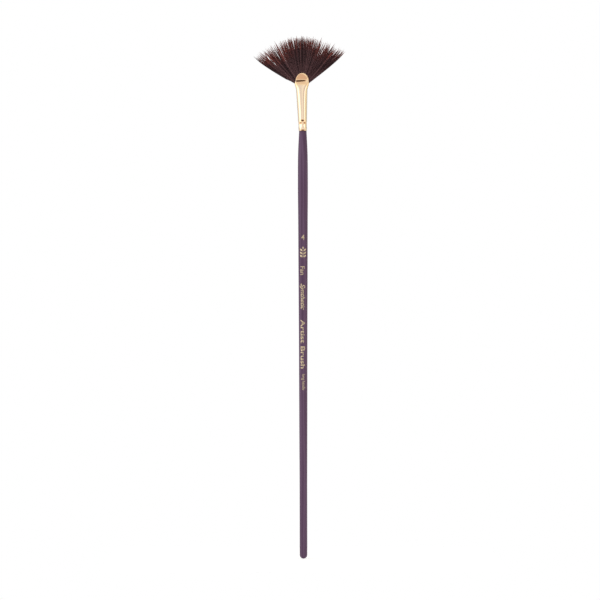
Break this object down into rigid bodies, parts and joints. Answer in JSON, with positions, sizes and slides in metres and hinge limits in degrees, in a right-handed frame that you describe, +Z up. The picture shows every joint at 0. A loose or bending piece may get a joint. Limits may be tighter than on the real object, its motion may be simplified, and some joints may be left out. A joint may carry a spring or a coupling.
{
  "type": "fan paint brush",
  "caption": "Long-handled artist's paint brush with a slim tapered wooden handle, a crimped metal ferrule and a wide flat fan of hair for blending.",
  "frame": {"origin": "middle of the rounded tail end of the handle, on the handle's axis", "axes": "+Z up the handle from the tail to the hair; the fan of hair spreads along X; its printed front faces -Y"},
  "size_m": [0.0532, 0.0062, 0.3207],
  "materials": {
    "wood": "matte",
    "lacquer": "satin",
    "foil": "satin",
    "ferrule": "polished",
    "resin": "gloss",
    "thread": "matte",
    "hair": "satin"
  },
  "bodies": {
    "brush": {"handle_core": "wood", "handle_lacquer": "lacquer", "ferrule": "ferrule", "glue_plug": "resin", "binding_thread": "thread", "hair_base": "hair", "foil_size_number": "foil", "foil_emblem": "foil", "foil_type_word": "foil", "foil_series_word": "foil", "foil_hair_words": "foil", "foil_handle_words": "foil"},
    "tuft": {"hair_lock_01": "hair", "hair_lock_02": "hair", "hair_lock_03": "hair", "hair_lock_04": "hair", "hair_lock_05": "hair", "hair_lock_06": "hair", "hair_lock_07": "hair", "hair_lock_08": "hair", "hair_lock_09": "hair", "hair_lock_10": "hair", "hair_lock_11": "hair", "hair_lock_12": "hair", "hair_lock_13": "hair", "hair_lock_14": "hair", "hair_lock_15": "hair", "hair_lock_16": "hair", "hair_lock_17": "hair", "hair_lock_18": "hair", "hair_lock_19": "hair", "hair_lock_20": "hair", "hair_lock_21": "hair", "hair_lock_22": "hair"}
  },
  "joints": [
    {"name": "tuft_flex", "type": "hinge", "parent": "brush", "child": "tuft", "pos_m": [0, 0, 0.3002], "axis": [1, 0, 0], "range_deg": [-40, 40], "stiffness_Nm_per_rad": 0.005}
  ]
}
